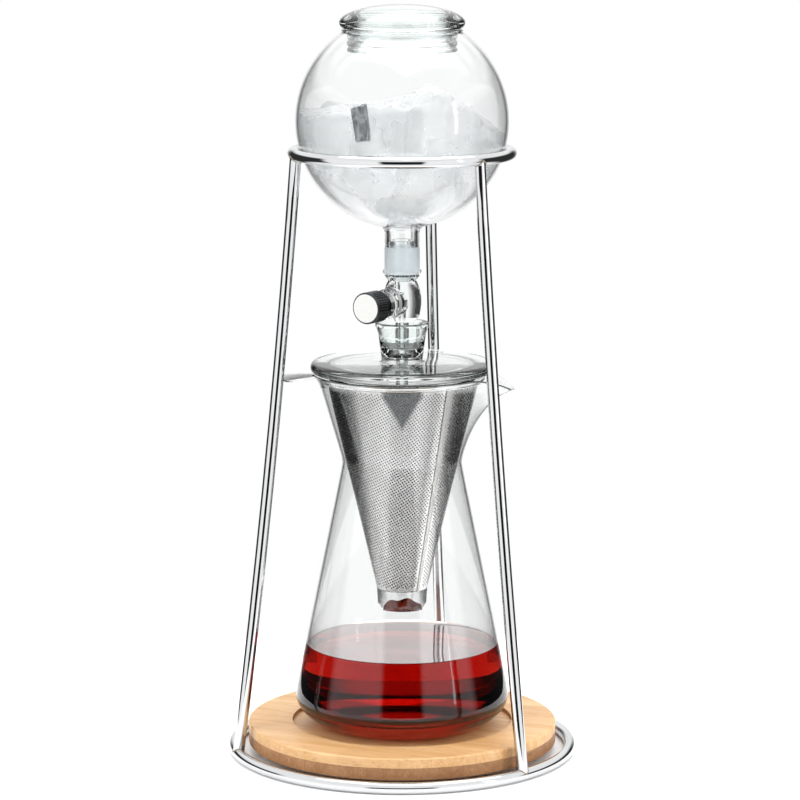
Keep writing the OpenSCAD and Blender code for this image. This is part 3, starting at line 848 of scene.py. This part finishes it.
def perforated_cone_tree():
    """Geometry Nodes: a flat grid with square holes, trimmed to a fan and rolled into a cone."""
    tree = bpy.data.node_groups.new("perforated_cone", "GeometryNodeTree")
    sockets = tree.interface
    sockets.new_socket("Geometry", in_out="OUTPUT", socket_type="NodeSocketGeometry")
    for name, value in CONE_INPUTS.items():
        sockets.new_socket(name, in_out="INPUT", socket_type="NodeSocketFloat").default_value = value
    sockets.new_socket("Material", in_out="INPUT", socket_type="NodeSocketMaterial")
    given = add_node(tree, "NodeGroupInput").outputs
    pitch, margin = given["Hole Pitch"], given["Margin"]
    kinds = ("ADD", "SUBTRACT", "MULTIPLY", "DIVIDE", "LESS_THAN", "GREATER_THAN", "MAXIMUM")
    plus, minus, times, over, below, above, either = (partial(calc, tree, kind) for kind in kinds)

    def length(a, b):
        return calc(tree, "SQRT", plus(times(a, a), times(b, b)))

    fall = minus(given["Top Height"], given["Bottom Height"])
    narrow = minus(given["Top Radius"], given["Bottom Radius"])
    slant = length(fall, narrow)
    sine = over(narrow, slant)
    cosine = over(fall, slant)
    far = over(given["Top Radius"], sine)
    near = over(given["Bottom Radius"], sine)
    half_turn = times(sine, math.pi)
    width = times(times(far, calc(tree, "SINE", half_turn)), 2.0)
    columns = calc(tree, "CEIL", over(width, pitch))
    rows = calc(tree, "CEIL", over(far, pitch))
    grid = add_node(tree, "GeometryNodeMeshGrid", None, {
        "Size X": times(columns, pitch), "Size Y": times(rows, pitch),
        "Vertices X": plus(times(columns, 2.0), 1.0), "Vertices Y": plus(times(rows, 2.0), 1.0)})
    spot = add_node(tree, "ShaderNodeSeparateXYZ", None, {
        0: add_node(tree, "GeometryNodeInputPosition").outputs[0]}).outputs
    half_pitch = times(pitch, 0.5)
    across = plus(spot["X"], times(columns, half_pitch))
    up = plus(spot["Y"], times(rows, half_pitch))

    def cell(value, shift):
        """0 or 1 by turns, from one half pitch to the next."""
        return calc(tree, "FLOORED_MODULO", calc(tree, "FLOOR", plus(over(value, half_pitch), shift)), 2.0)

    # Face centres lie halfway between grid lines, so their cells are counted without a shift.
    hole = times(below(cell(across, 0.0), 0.5), below(cell(up, 0.0), 0.5))
    reach = length(spot["X"], up)
    turned = calc(tree, "ABSOLUTE", calc(tree, "ARCTAN2", spot["X"], up))
    outside = either(above(reach, far), below(reach, near))
    outside = either(outside, above(turned, half_turn))
    inner_part = times(below(reach, minus(far, margin)), above(reach, plus(near, margin)))
    inner_part = times(inner_part, above(times(reach, minus(half_turn, turned)), margin))
    cut = either(outside, times(hole, inner_part))
    kept = add_node(tree, "GeometryNodeDeleteGeometry", None,
                    {"Geometry": grid.outputs["Mesh"], "Selection": above(cut, 0.5)}, domain="FACE")

    def widened(value):
        """Moves every second grid line, so that holes take their share of the pitch."""
        slip = times(minus(given["Hole Share"], 0.5), pitch)
        return plus(value, times(cell(value, 0.5), slip))

    flat_x = minus(widened(across), times(columns, half_pitch))
    flat_y = widened(up)
    flat_reach = calc(tree, "MINIMUM", either(length(flat_x, flat_y), near), far)
    angle = plus(given["Seam Turn"], over(calc(tree, "ARCTAN2", flat_x, flat_y), sine))
    radius = times(flat_reach, sine)
    rolled = add_node(tree, "ShaderNodeCombineXYZ", None, {
        "X": times(radius, calc(tree, "COSINE", angle)), "Y": times(radius, calc(tree, "SINE", angle)),
        "Z": plus(given["Bottom Height"], times(minus(flat_reach, near), cosine))})
    moved = add_node(tree, "GeometryNodeSetPosition", None,
                     {"Geometry": kept.outputs[0], "Position": rolled.outputs[0]})
    smooth = add_node(tree, "GeometryNodeSetShadeSmooth", None, {"Geometry": moved.outputs[0]})
    real = add_node(tree, "GeometryNodeRealizeInstances", None, {"Geometry": smooth.outputs[0]})
    dressed = add_node(tree, "GeometryNodeSetMaterial", None,
                       {"Geometry": real.outputs[0], "Material": given["Material"]})
    add_node(tree, "NodeGroupOutput", None, {"Geometry": dressed.outputs[0]})
    return tree


def grown(name, tree, values):
    """Runs a Geometry Nodes tree with named inputs and returns its result as a plain mesh."""
    holder = bpy.data.objects.new(name + "_maker", bpy.data.meshes.new(name + "_seed"))
    bpy.context.scene.collection.objects.link(holder)
    modifier = holder.modifiers.new("maker", "NODES")
    modifier.node_group = tree
    for item in tree.interface.items_tree:
        if item.in_out == "INPUT" and item.name in values:
            modifier[item.identifier] = values[item.name]
    return baked(holder, name)


def reflection_film_mesh(reach, low):
    """A thin lens on the front of the filter's foot, under an uneven arch, that carries a painted reflection
    of the coffee below.
    """
    work = bmesh.new()
    grids = []
    for skin in (0, 1):
        grid = []
        for i in range(FILM_STEPS + 1):
            share = 2 * i / FILM_STEPS - 1
            arch = FILM_H * (0.04 + 0.96 * math.sqrt(max(0, 1 - share ** 2)))
            arch *= 0.9 + 0.1 * math.sin(7 * share)
            angle = math.radians(FILM_HALF * share - 90 + FILM_TURN)
            depth = skin * FILM_DEPTH * math.sin(math.pi * i / FILM_STEPS)
            column = []
            for j in range(FILM_ROWS + 1):
                radius = reach + (FILM_GAP + depth * math.sin(math.pi * j / FILM_ROWS))
                column.append(work.verts.new((radius * math.cos(angle), radius * math.sin(angle),
                                              low + FILM_LOW + arch * j / FILM_ROWS)))
            grid.append(column)
        grids.append(grid)
    for skin, grid in enumerate(grids):
        for one, two in zip(grid, grid[1:]):
            for j in range(FILM_ROWS):
                corners = [one[j], two[j], two[j + 1], one[j + 1]]
                work.faces.new(corners if skin else corners[::-1])
    return to_mesh(work, "coffee_reflection_film", limit=60)


class TOWER_OT_filter(bpy.types.Operator):
    """The cone filter: a perforated sheet rolled from the flat, a woven mesh inside it, and pressed trims"""
    bl_idname = "tower.filter"
    bl_label = "Filter"

    def execute(self, context):
        size = context.scene.tower_filter
        low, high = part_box("filter_outer_cone")
        mesh = grown("perforated_sheet", perforated_cone_tree(), {
            "Top Radius": high.x - SHEET_IN, "Bottom Radius": node_radius("filter_base_cap") - SHEET_IN,
            "Top Height": high.z, "Bottom Height": low.z, "Hole Pitch": mm(size.hole_pitch),
            "Hole Share": size.hole_share, "Seam Turn": math.radians(size.seam_az + 90),
            "Margin": PLAIN_EDGE, "Material": etched_sheet(high.z)})
        place("perforated_sheet", mesh, "filter", [], ["filter_outer_cone"])
        finish_nodes(woven_mesh(), "filter_inner_mesh")
        bright = satin_steel("pressed_bright_steel", "#CFCFCF", 0.1, 0.22, (300, 300, 900), 0.02)
        finish_nodes(bright, "filter_rim", "filter_base_cap")
        cap_low, cap_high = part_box("filter_base_cap")
        # Painted reflection of the brewed coffee in the polished cap, drawn as a film on its front.
        place("coffee_reflection_film", reflection_film_mesh(cap_high.x, cap_low.z), "filter", [painted_coffee_reflection()])
        finish_nodes(satin_steel("plain_seam_strip", "#C4C1BF", 0.2, 0.34, (900, 900, 60)), "filter_seam")
        return {"FINISHED"}


# ---- Globe and stopper ----

# The ground joint, in millimetres: where its socket starts and ends, its taper, and its radius at the foot.
SOCKET_Z = 288.5
SOCKET_TOP = 303.3
JOINT_TOP = 308
TAPER = 1 / 20
JOINT_R = 9
# The ball: its wall, the radius and height of its mouth over its middle, the rolled bead, and its neck.
GLOBE_WALL = 1.8
MOUTH_R = 34.4
MOUTH_H = 52.4
BEAD_R = 1.3
NECK_R = 10.2
NECK_START_R = 12.2
SOCKET_R = 11.6


class TOWER_OT_globe(bpy.types.Operator):
    """The blown globe with its rolled mouth, neck and ground socket"""
    bl_idname = "tower.globe"
    bl_label = "Globe"

    def execute(self, context):
        radius = mm_of(node_radius("globe"))
        inner = radius - GLOBE_WALL
        mouth = mm_of(node_top("globe")) - BEAD_R
        centre = mouth - MOUTH_H
        ground_r = JOINT_R + 0.05
        ground_top = SOCKET_TOP + 0.7
        bore_top = JOINT_TOP + 0.5
        bore = ground_r - (bore_top - SOCKET_Z) * TAPER
        mouth_turn = math.degrees(math.asin((mouth - 1.0 - centre) / radius))
        neck_turn = -math.degrees(math.acos(NECK_START_R / radius))
        lip_turn = math.degrees(math.asin((mouth - 1.6 - centre) / inner))
        inner_neck = -math.degrees(math.acos((bore + 2.2) / inner))
        sphere_out = arc((0, centre), radius, mouth_turn, neck_turn, 70)
        # The neck leaves the ball in a soft fillet.
        start_r, start_z = sphere_out[-1]
        flare = [(NECK_R + (start_r - NECK_R) * (1 - t) ** 2.2, start_z - 4.2 * t ** 0.8)
                 for t in (0.25, 0.5, 0.75, 1.0)]
        outline = arc((MOUTH_R, mouth), BEAD_R, 200, -30, 14) + sphere_out[1:] + flare
        outline += [(NECK_R, SOCKET_TOP + 0.6), (NECK_R + 0.25, SOCKET_TOP - 0.2),
                    (NECK_R + 0.25, SOCKET_Z + 2.5), (SOCKET_R - 0.4, SOCKET_Z + 1.9),
                    (SOCKET_R, SOCKET_Z + 1.3), (SOCKET_R, SOCKET_Z + 0.7), (SOCKET_R - 0.5, SOCKET_Z)]
        outline += [(ground_r + 0.2, SOCKET_Z), (ground_r, SOCKET_Z + 0.2),
                    (ground_r - (ground_top - SOCKET_Z) * TAPER, ground_top), (bore, bore_top)]
        inside = arc((0, centre), inner, inner_neck, lip_turn, 70)
        outline += [(bore, inside[0][1] - 2.0), (bore + 0.6, inside[0][1] - 0.8)] + inside
        mesh = lathe("globe_glass", outline, 200, 50)
        for face in mesh.polygons:
            reach = mm_of(math.hypot(face.center.x, face.center.y))
            if SOCKET_Z + 0.1 < mm_of(face.center.z) < ground_top and reach < JOINT_R + 0.1:
                face.material_index = 1
        glass = clear_glass("blown_borosilicate_globe", "#FCFDFD", 0.05, 14.0)
        place("globe_glass", mesh, "globe", [glass, ground_glass()],
              ["globe", "globe_socket"])
        return {"FINISHED"}


# The stopper: its plug's height, radius and wall, the round under its flange, and its moulded rings.
PLUG_H = 13.8
PLUG_R = 32.3
PLUG_WALL = 3.4
BUN_LOW_H = 3.4
RING_STEP = 4
RING_DEPTH = 0.8


class TOWER_OT_stopper(bpy.types.Operator):
    """The hollow glass stopper: a thick flange, domed like a bun, over a plug with moulded rings"""
    bl_idname = "tower.stopper"
    bl_label = "Stopper"

    def execute(self, context):
        low = mm_of(node_bottom("globe_lid"))
        top = mm_of(node_top("globe_lid"))
        edge = mm_of(node_radius("globe_lid"))
        flange = low + PLUG_H
        widest = flange + BUN_LOW_H
        inner = PLUG_R - PLUG_WALL

        def quarter(centre_r, radius, start, rise, turns):
            turns = [math.radians(a) for a in turns]
            return [(centre_r + radius * math.cos(a), start + rise * math.sin(a), 0) for a in turns]

        corners = quarter(0, edge, widest, top - widest, range(90, -1, -3))
        corners += quarter(edge - BUN_LOW_H, BUN_LOW_H, widest, BUN_LOW_H, range(-10, -91, -10))
        corners += [(PLUG_R, flange, 0.6)]
        for i in range(3):
            ring = flange - 2.6 - RING_STEP * i
            corners += [(PLUG_R, ring + 1.2, 0.2), (PLUG_R - RING_DEPTH, ring, 0.4),
                        (PLUG_R, ring - 1.2, 0.2)]
        corners += [(PLUG_R, low, 1.6), (inner, low, 1.6)]
        for i in range(3):
            step = low + 3.4 + RING_STEP * i
            corners += [(inner, step, 0.4), (inner - 0.6, step + 0.6, 0.4)]
        corners += quarter(0, inner - 0.6, flange + 3, top - flange - 3 - 3.6, range(0, 91, 5))
        glass = clear_glass("pressed_stopper_glass", "#F8FCFB", 0.05, 26.0)
        place("stopper_glass", lathe("stopper_glass", rounded(corners, 6), 180), "globe_lid",
              [glass], ["globe_lid"])
        return {"FINISHED"}


# ---- Valve ----

class TOWER_OT_valve(bpy.types.Operator):
    """The needle valve: clear glass body, plastic bush, turned metal and a fluted knob with a plain face"""
    bl_idname = "tower.valve"
    bl_label = "Valve"

    def execute(self, context):
        finish_nodes(clear_glass("worked_valve_glass", "#F9FBFB", 0.04, 60.0), "valve_body")
        finish_nodes(moulded("turned_ptfe", "#EDEDEA", 0.35, 0.5, 700.0), "valve_bush")
        finish_nodes(moulded("black_nitrile_seal", "#141414", 0.45, 0.6, 900.0), "needle_seal")
        turned = satin_steel("turned_steel", "#A5A6A8", 0.12, 0.28, (400, 400, 400), 0.02)
        finish_nodes(turned, "gland_nut", "valve_needle", "knob_set_screw")
        dark = moulded("dark_anodised_aluminium", "#4A4B4D", 0.22, 0.4, 1200.0, Metallic=1.0)
        finish_nodes(dark, "valve_knob")
        finish_nodes(moulded("faced_aluminium", "#E9E9E6", 0.28, 0.42, 1400.0, Metallic=0.35), "knob_cap")
        return {"FINISHED"}


# ---- Contents ----

# The coffee lies this much inside the glass, in millimetres.
COFFEE_GAP = 0.06
# The blocks stay this far from the ball's wall, in millimetres.
ICE_GAP = 0.6
# Each block: its middle from the globe's centre, its size, and its turn about X, Y and Z in degrees.
ICE_BLOCKS = (
    ((-42, -12, -9), (38, 42, 33), (6, -4, 18)), ((-11, -25, -7), (32, 30, 33), (-8, 3, -14)),
    ((11, -14, -2), (40, 36, 36), (8, -18, 10)), ((36, -10, -12), (34, 38, 36), (0, 42, 6)),
    ((-26, 28, -6), (40, 36, 30), (-5, 3, -20)), ((22, 28, -7), (40, 38, 30), (5, 4, 25)),
    ((-28, -20, -38), (36, 36, 32), (20, 15, 30)), ((15, -21, -39), (38, 34, 34), (-15, 10, -20)),
    ((-2, 24, -40), (42, 36, 34), (10, -10, 10)), ((0, -2, -56), (36, 34, 22), (5, 5, 45)),
    ((43, 6, -36), (30, 38, 28), (10, 20, 10)), ((-45, 12, -34), (28, 34, 28), (-10, -20, -10)),
    ((-2, 2, -14), (24, 18, 26), (0, 0, 30)))
ICE_SPLINTER = ((-23.5, -39.5, 2), (7.5, 8, 21), (4, -4, -8))
# The melted surface: the scale and depth of its broad and its fine dents, and how far it shrinks.
ICE_DENTS = ((70, mm(1.8)), (200, mm(0.9)))
ICE_SHRINK = mm(0.3)


class TOWER_OT_coffee(bpy.types.Operator):
    """The brewed coffee, which wets the inside of the carafe and climbs its wall a little"""
    bl_idname = "tower.coffee"
    bl_label = "Coffee"

    def execute(self, context):
        size = context.scene.tower_carafe
        base = mm_of(node_bottom("carafe"))
        contents = context.scene.tower_contents
        level = contents.coffee_level
        wall = size.wall + COFFEE_GAP
        top = level - base
        heights = [h for h in lower_heights() if h < top] + [top + MENISCUS]
        outline = [(0, base + FLOOR_H + COFFEE_GAP)]
        outline += [(r, base + z) for r, z in (inner_point(h, wall) for h in heights)]
        edge = inner_point(top, wall)[0]
        outline += [(edge - 0.3 - 5 * t, base + top + MENISCUS * (1 - t) ** 3) for t in (0.1, 0.3, 0.6, 1.0)]
        outline += [(edge * s, level) for s in (0.6, 0.3)] + [(0, level)]
        place("brewed_coffee", lathe("brewed_coffee", outline, 200, 60), "carafe",
              [brewed_coffee(contents.coffee_colour, contents.coffee_density, level)])
        return {"FINISHED"}


def ice_block(middle, size, turns, dice, uneven=2.2, melted=3.2):
    """One block: a box with uneven corners and melted edges."""
    work = bmesh.new()
    bmesh.ops.create_cube(work, size=1)
    for vertex in work.verts:
        vertex.co = [vertex.co[i] * mm(size[i]) + mm(dice.uniform(-uneven, uneven)) for i in range(3)]
    bmesh.ops.bevel(work, geom=work.edges[:], offset=mm(melted), segments=3, profile=0.5, affect="EDGES")
    turn = Euler([math.radians(a) for a in turns]).to_matrix().to_4x4()
    bmesh.ops.transform(work, matrix=Matrix.Translation(mm(*middle)) @ turn, verts=work.verts)
    return work


class TOWER_OT_ice(bpy.types.Operator):
    """Blocks of melting ice that fill the lower part of the globe, higher on the right"""
    bl_idname = "tower.ice"
    bl_label = "Ice"

    def execute(self, context):
        contents = context.scene.tower_contents
        middle = Vector((0, 0, node_top("globe") - mm(BEAD_R + MOUTH_H)))
        ball = node_radius("globe") - mm(GLOBE_WALL + ICE_GAP)
        dice = random.Random(contents.ice_seed)
        whole = bmesh.new()
        for spot, size, turns in ICE_BLOCKS:
            block = ice_block(spot, size, turns, dice)
            part = bpy.data.meshes.new("ice_block")
            block.to_mesh(part)
            block.free()
            whole.from_mesh(part)
            bpy.data.meshes.remove(part)
        mesh = bpy.data.meshes.new("ice_blocks")
        whole.to_mesh(mesh)
        whole.free()
        holder = bpy.data.objects.new("ice_maker", mesh)
        context.scene.collection.objects.link(holder)
        remesh = holder.modifiers.new("melt", "REMESH")
        remesh.mode = "VOXEL"
        remesh.voxel_size = mm(contents.ice_grain)
        soften = holder.modifiers.new("soften", "SMOOTH")
        soften.factor = 0.5
        soften.iterations = 3
        melted = baked(holder, "ice_blocks")
        spots = []
        normals = [item.vector.copy() for item in melted.vertex_normals]
        for vertex, normal in zip(melted.vertices, normals):
            broad, fine = (noise.noise(vertex.co * scale) * depth for scale, depth in ICE_DENTS)
            moved = vertex.co + normal * (broad + fine - ICE_SHRINK)
            spots.extend(middle + moved * min(1.0, ball / max(moved.length, 1e-9)))
        melted.vertices.foreach_set("co", spots)
        for face in melted.polygons:
            face.use_smooth = True
        place("ice_blocks", melted, "globe", [block_ice()])
        splinter = ice_block(*ICE_SPLINTER, dice, uneven=1.6, melted=1.0)
        bmesh.ops.translate(splinter, vec=middle, verts=splinter.verts)
        place("ice_splinter", to_mesh(splinter, "ice_splinter"), "globe", [clear_ice()])
        return {"FINISHED"}


# ---- Stage ----

# Light round the horizon, in shares of a half turn from the background to behind the camera.
STUDIO_BANDS = (
    (0.07, 1.0), (0.13, 0.2), (0.17, 0.04), (0.5, 0.04), (0.55, 1.25), (0.86, 1.35), (0.89, 0.015))
# The flags' ends, as heights on the sphere of light: where each starts to fade and where it is gone.
FLAG_TOP = (0.22, 0.36)
FLAG_FOOT = (-0.5, -0.62)
FLOOR_R = 0.3
# The camera's sensor width in millimetres, and how near and how far it sees in metres.
SENSOR_W = 36
SEEN_RANGE = (0.05, 50)
# Each light: its name, place, aim, size, power, and whether glass and steel mirror it.
LIGHTS = (
    ("overhead_softbox", (0.1, 0.1, 1.6), (0, 0, 0.1), (1.6, 1.6), 16, True),
    ("left_softbox", (-1.2, -0.7, 0.8), (0, 0, 0.2), (0.5, 1.2), 9, False),
    ("right_softbox", (1.3, -0.5, 0.7), (0, 0, 0.2), (0.35, 1.2), 8, False),
    ("right_strip", (1.25, -0.75, 0.5), (0, 0, 0.15), (0.1, 0.8), 1.0, True))


def studio_world(scene):
    """Soft white all round for the object, with narrow dark flags that draw the edges of glass and rod."""
    world = bpy.data.worlds.new("white_studio")
    scene.world = world
    world.use_nodes = True
    tree = world.node_tree
    tree.nodes.clear()
    way = add_node(tree, "ShaderNodeSeparateXYZ", None,
                   {0: add_node(tree, "ShaderNodeTexCoord").outputs["Generated"]}).outputs
    side = calc(tree, "ABSOLUTE", calc(tree, "ARCTAN2", way["X"], way["Y"]))
    ramp = add_node(tree, "ShaderNodeValToRGB", None, {"Fac": calc(tree, "DIVIDE", side, math.pi)})
    stops = ramp.color_ramp.elements
    for share, light in STUDIO_BANDS:
        stops.new(share).color = (light, light, light, 1)
    stops[0].color = (1, 1, 1, 1)
    stops[-1].color = (0.01, 0.01, 0.01, 1)
    # The flags stand upright, so they end some way above and below the level of the eye.
    clear = calc(tree, "MAXIMUM", ranged(tree, way["Z"], *FLAG_TOP), ranged(tree, way["Z"], *FLAG_FOOT))
    shade = blend(tree, clear, ramp.outputs["Color"], (1.2, 1.2, 1.2, 1))
    rays = add_node(tree, "ShaderNodeLightPath").outputs["Is Camera Ray"]
    seen = blend(tree, rays, shade, (1, 1, 1, 1))
    light = add_node(tree, "ShaderNodeBackground", {"Strength": 1.0}, {"Color": seen})
    add_node(tree, "ShaderNodeOutputWorld", None, {"Surface": light.outputs[0]})


def soft_light(name, spot, aim, size, power, mirrored):
    """An area light. One that isn't mirrored lights the piece without a bright patch on glass."""
    data = bpy.data.lights.new(name, "AREA")
    data.shape = "RECTANGLE"
    data.size, data.size_y = size
    data.energy = power
    made = bpy.data.objects.new(name, data)
    bpy.context.scene.collection.objects.link(made)
    made.location = spot
    made.rotation_euler = (Vector(aim) - Vector(spot)).to_track_quat("-Z", "Y").to_euler()
    made.visible_glossy = made.visible_transmission = mirrored


class TOWER_OT_stage(bpy.types.Operator):
    """Pale floor, white studio, soft lights and the camera at the photograph's angle"""
    bl_idname = "tower.stage"
    bl_label = "Stage"

    def execute(self, context):
        scene = context.scene
        size = scene.tower_stage
        scene.view_settings.view_transform = "Standard"
        studio_world(scene)
        work = bmesh.new()
        bmesh.ops.create_circle(work, cap_ends=True, segments=96, radius=FLOOR_R)
        floor_mesh = bpy.data.meshes.new("floor")
        work.to_mesh(floor_mesh)
        work.free()
        floor = bpy.data.objects.new("floor", floor_mesh)
        scene.collection.objects.link(floor)
        floor_mesh.materials.append(pale_floor())
        for light in LIGHTS:
            soft_light(*light)
        data = bpy.data.cameras.new("camera")
        data.sensor_width = SENSOR_W
        data.lens = size.lens
        data.clip_start, data.clip_end = SEEN_RANGE
        camera = bpy.data.objects.new("camera", data)
        scene.collection.objects.link(camera)
        camera.location = (size.aim_x, -size.distance * math.cos(size.pitch),
                           size.aim_z + size.distance * math.sin(size.pitch))
        camera.rotation_euler = (math.pi / 2 - size.pitch, 0, 0)
        scene.camera = camera
        return {"FINISHED"}


# ---- Panel, registration and the run ----

STEPS = (TOWER_OT_stand, TOWER_OT_board, TOWER_OT_carafe, TOWER_OT_carafe_lid, TOWER_OT_filter,
         TOWER_OT_globe, TOWER_OT_stopper, TOWER_OT_valve, TOWER_OT_coffee, TOWER_OT_ice, TOWER_OT_stage)


class TOWER_PT_panel(bpy.types.Panel):
    """Lists the steps that build the tower"""
    bl_idname = "TOWER_PT_panel"
    bl_label = "Cold Drip Tower"
    bl_space_type = "VIEW_3D"
    bl_region_type = "UI"
    bl_category = "Drip Tower"

    def draw(self, context):
        for step in STEPS:
            self.layout.operator(step.bl_idname)
        for name, group in SETTINGS.items():
            box = self.layout.box()
            for field in group.__annotations__:
                box.prop(getattr(context.scene, name), field)


CLASSES = (*SETTINGS.values(), *STEPS, TOWER_PT_panel)


def register():
    for item in CLASSES:
        bpy.utils.register_class(item)
    for name, group in SETTINGS.items():
        setattr(bpy.types.Scene, name, PointerProperty(type=group))


def unregister():
    for name in SETTINGS:
        delattr(bpy.types.Scene, name)
    for item in reversed(CLASSES):
        bpy.utils.unregister_class(item)


def main():
    register()
    for step in STEPS:
        family, name = step.bl_idname.split(".")
        getattr(getattr(bpy.ops, family), name)()


if __name__ == "__main__":
    main()
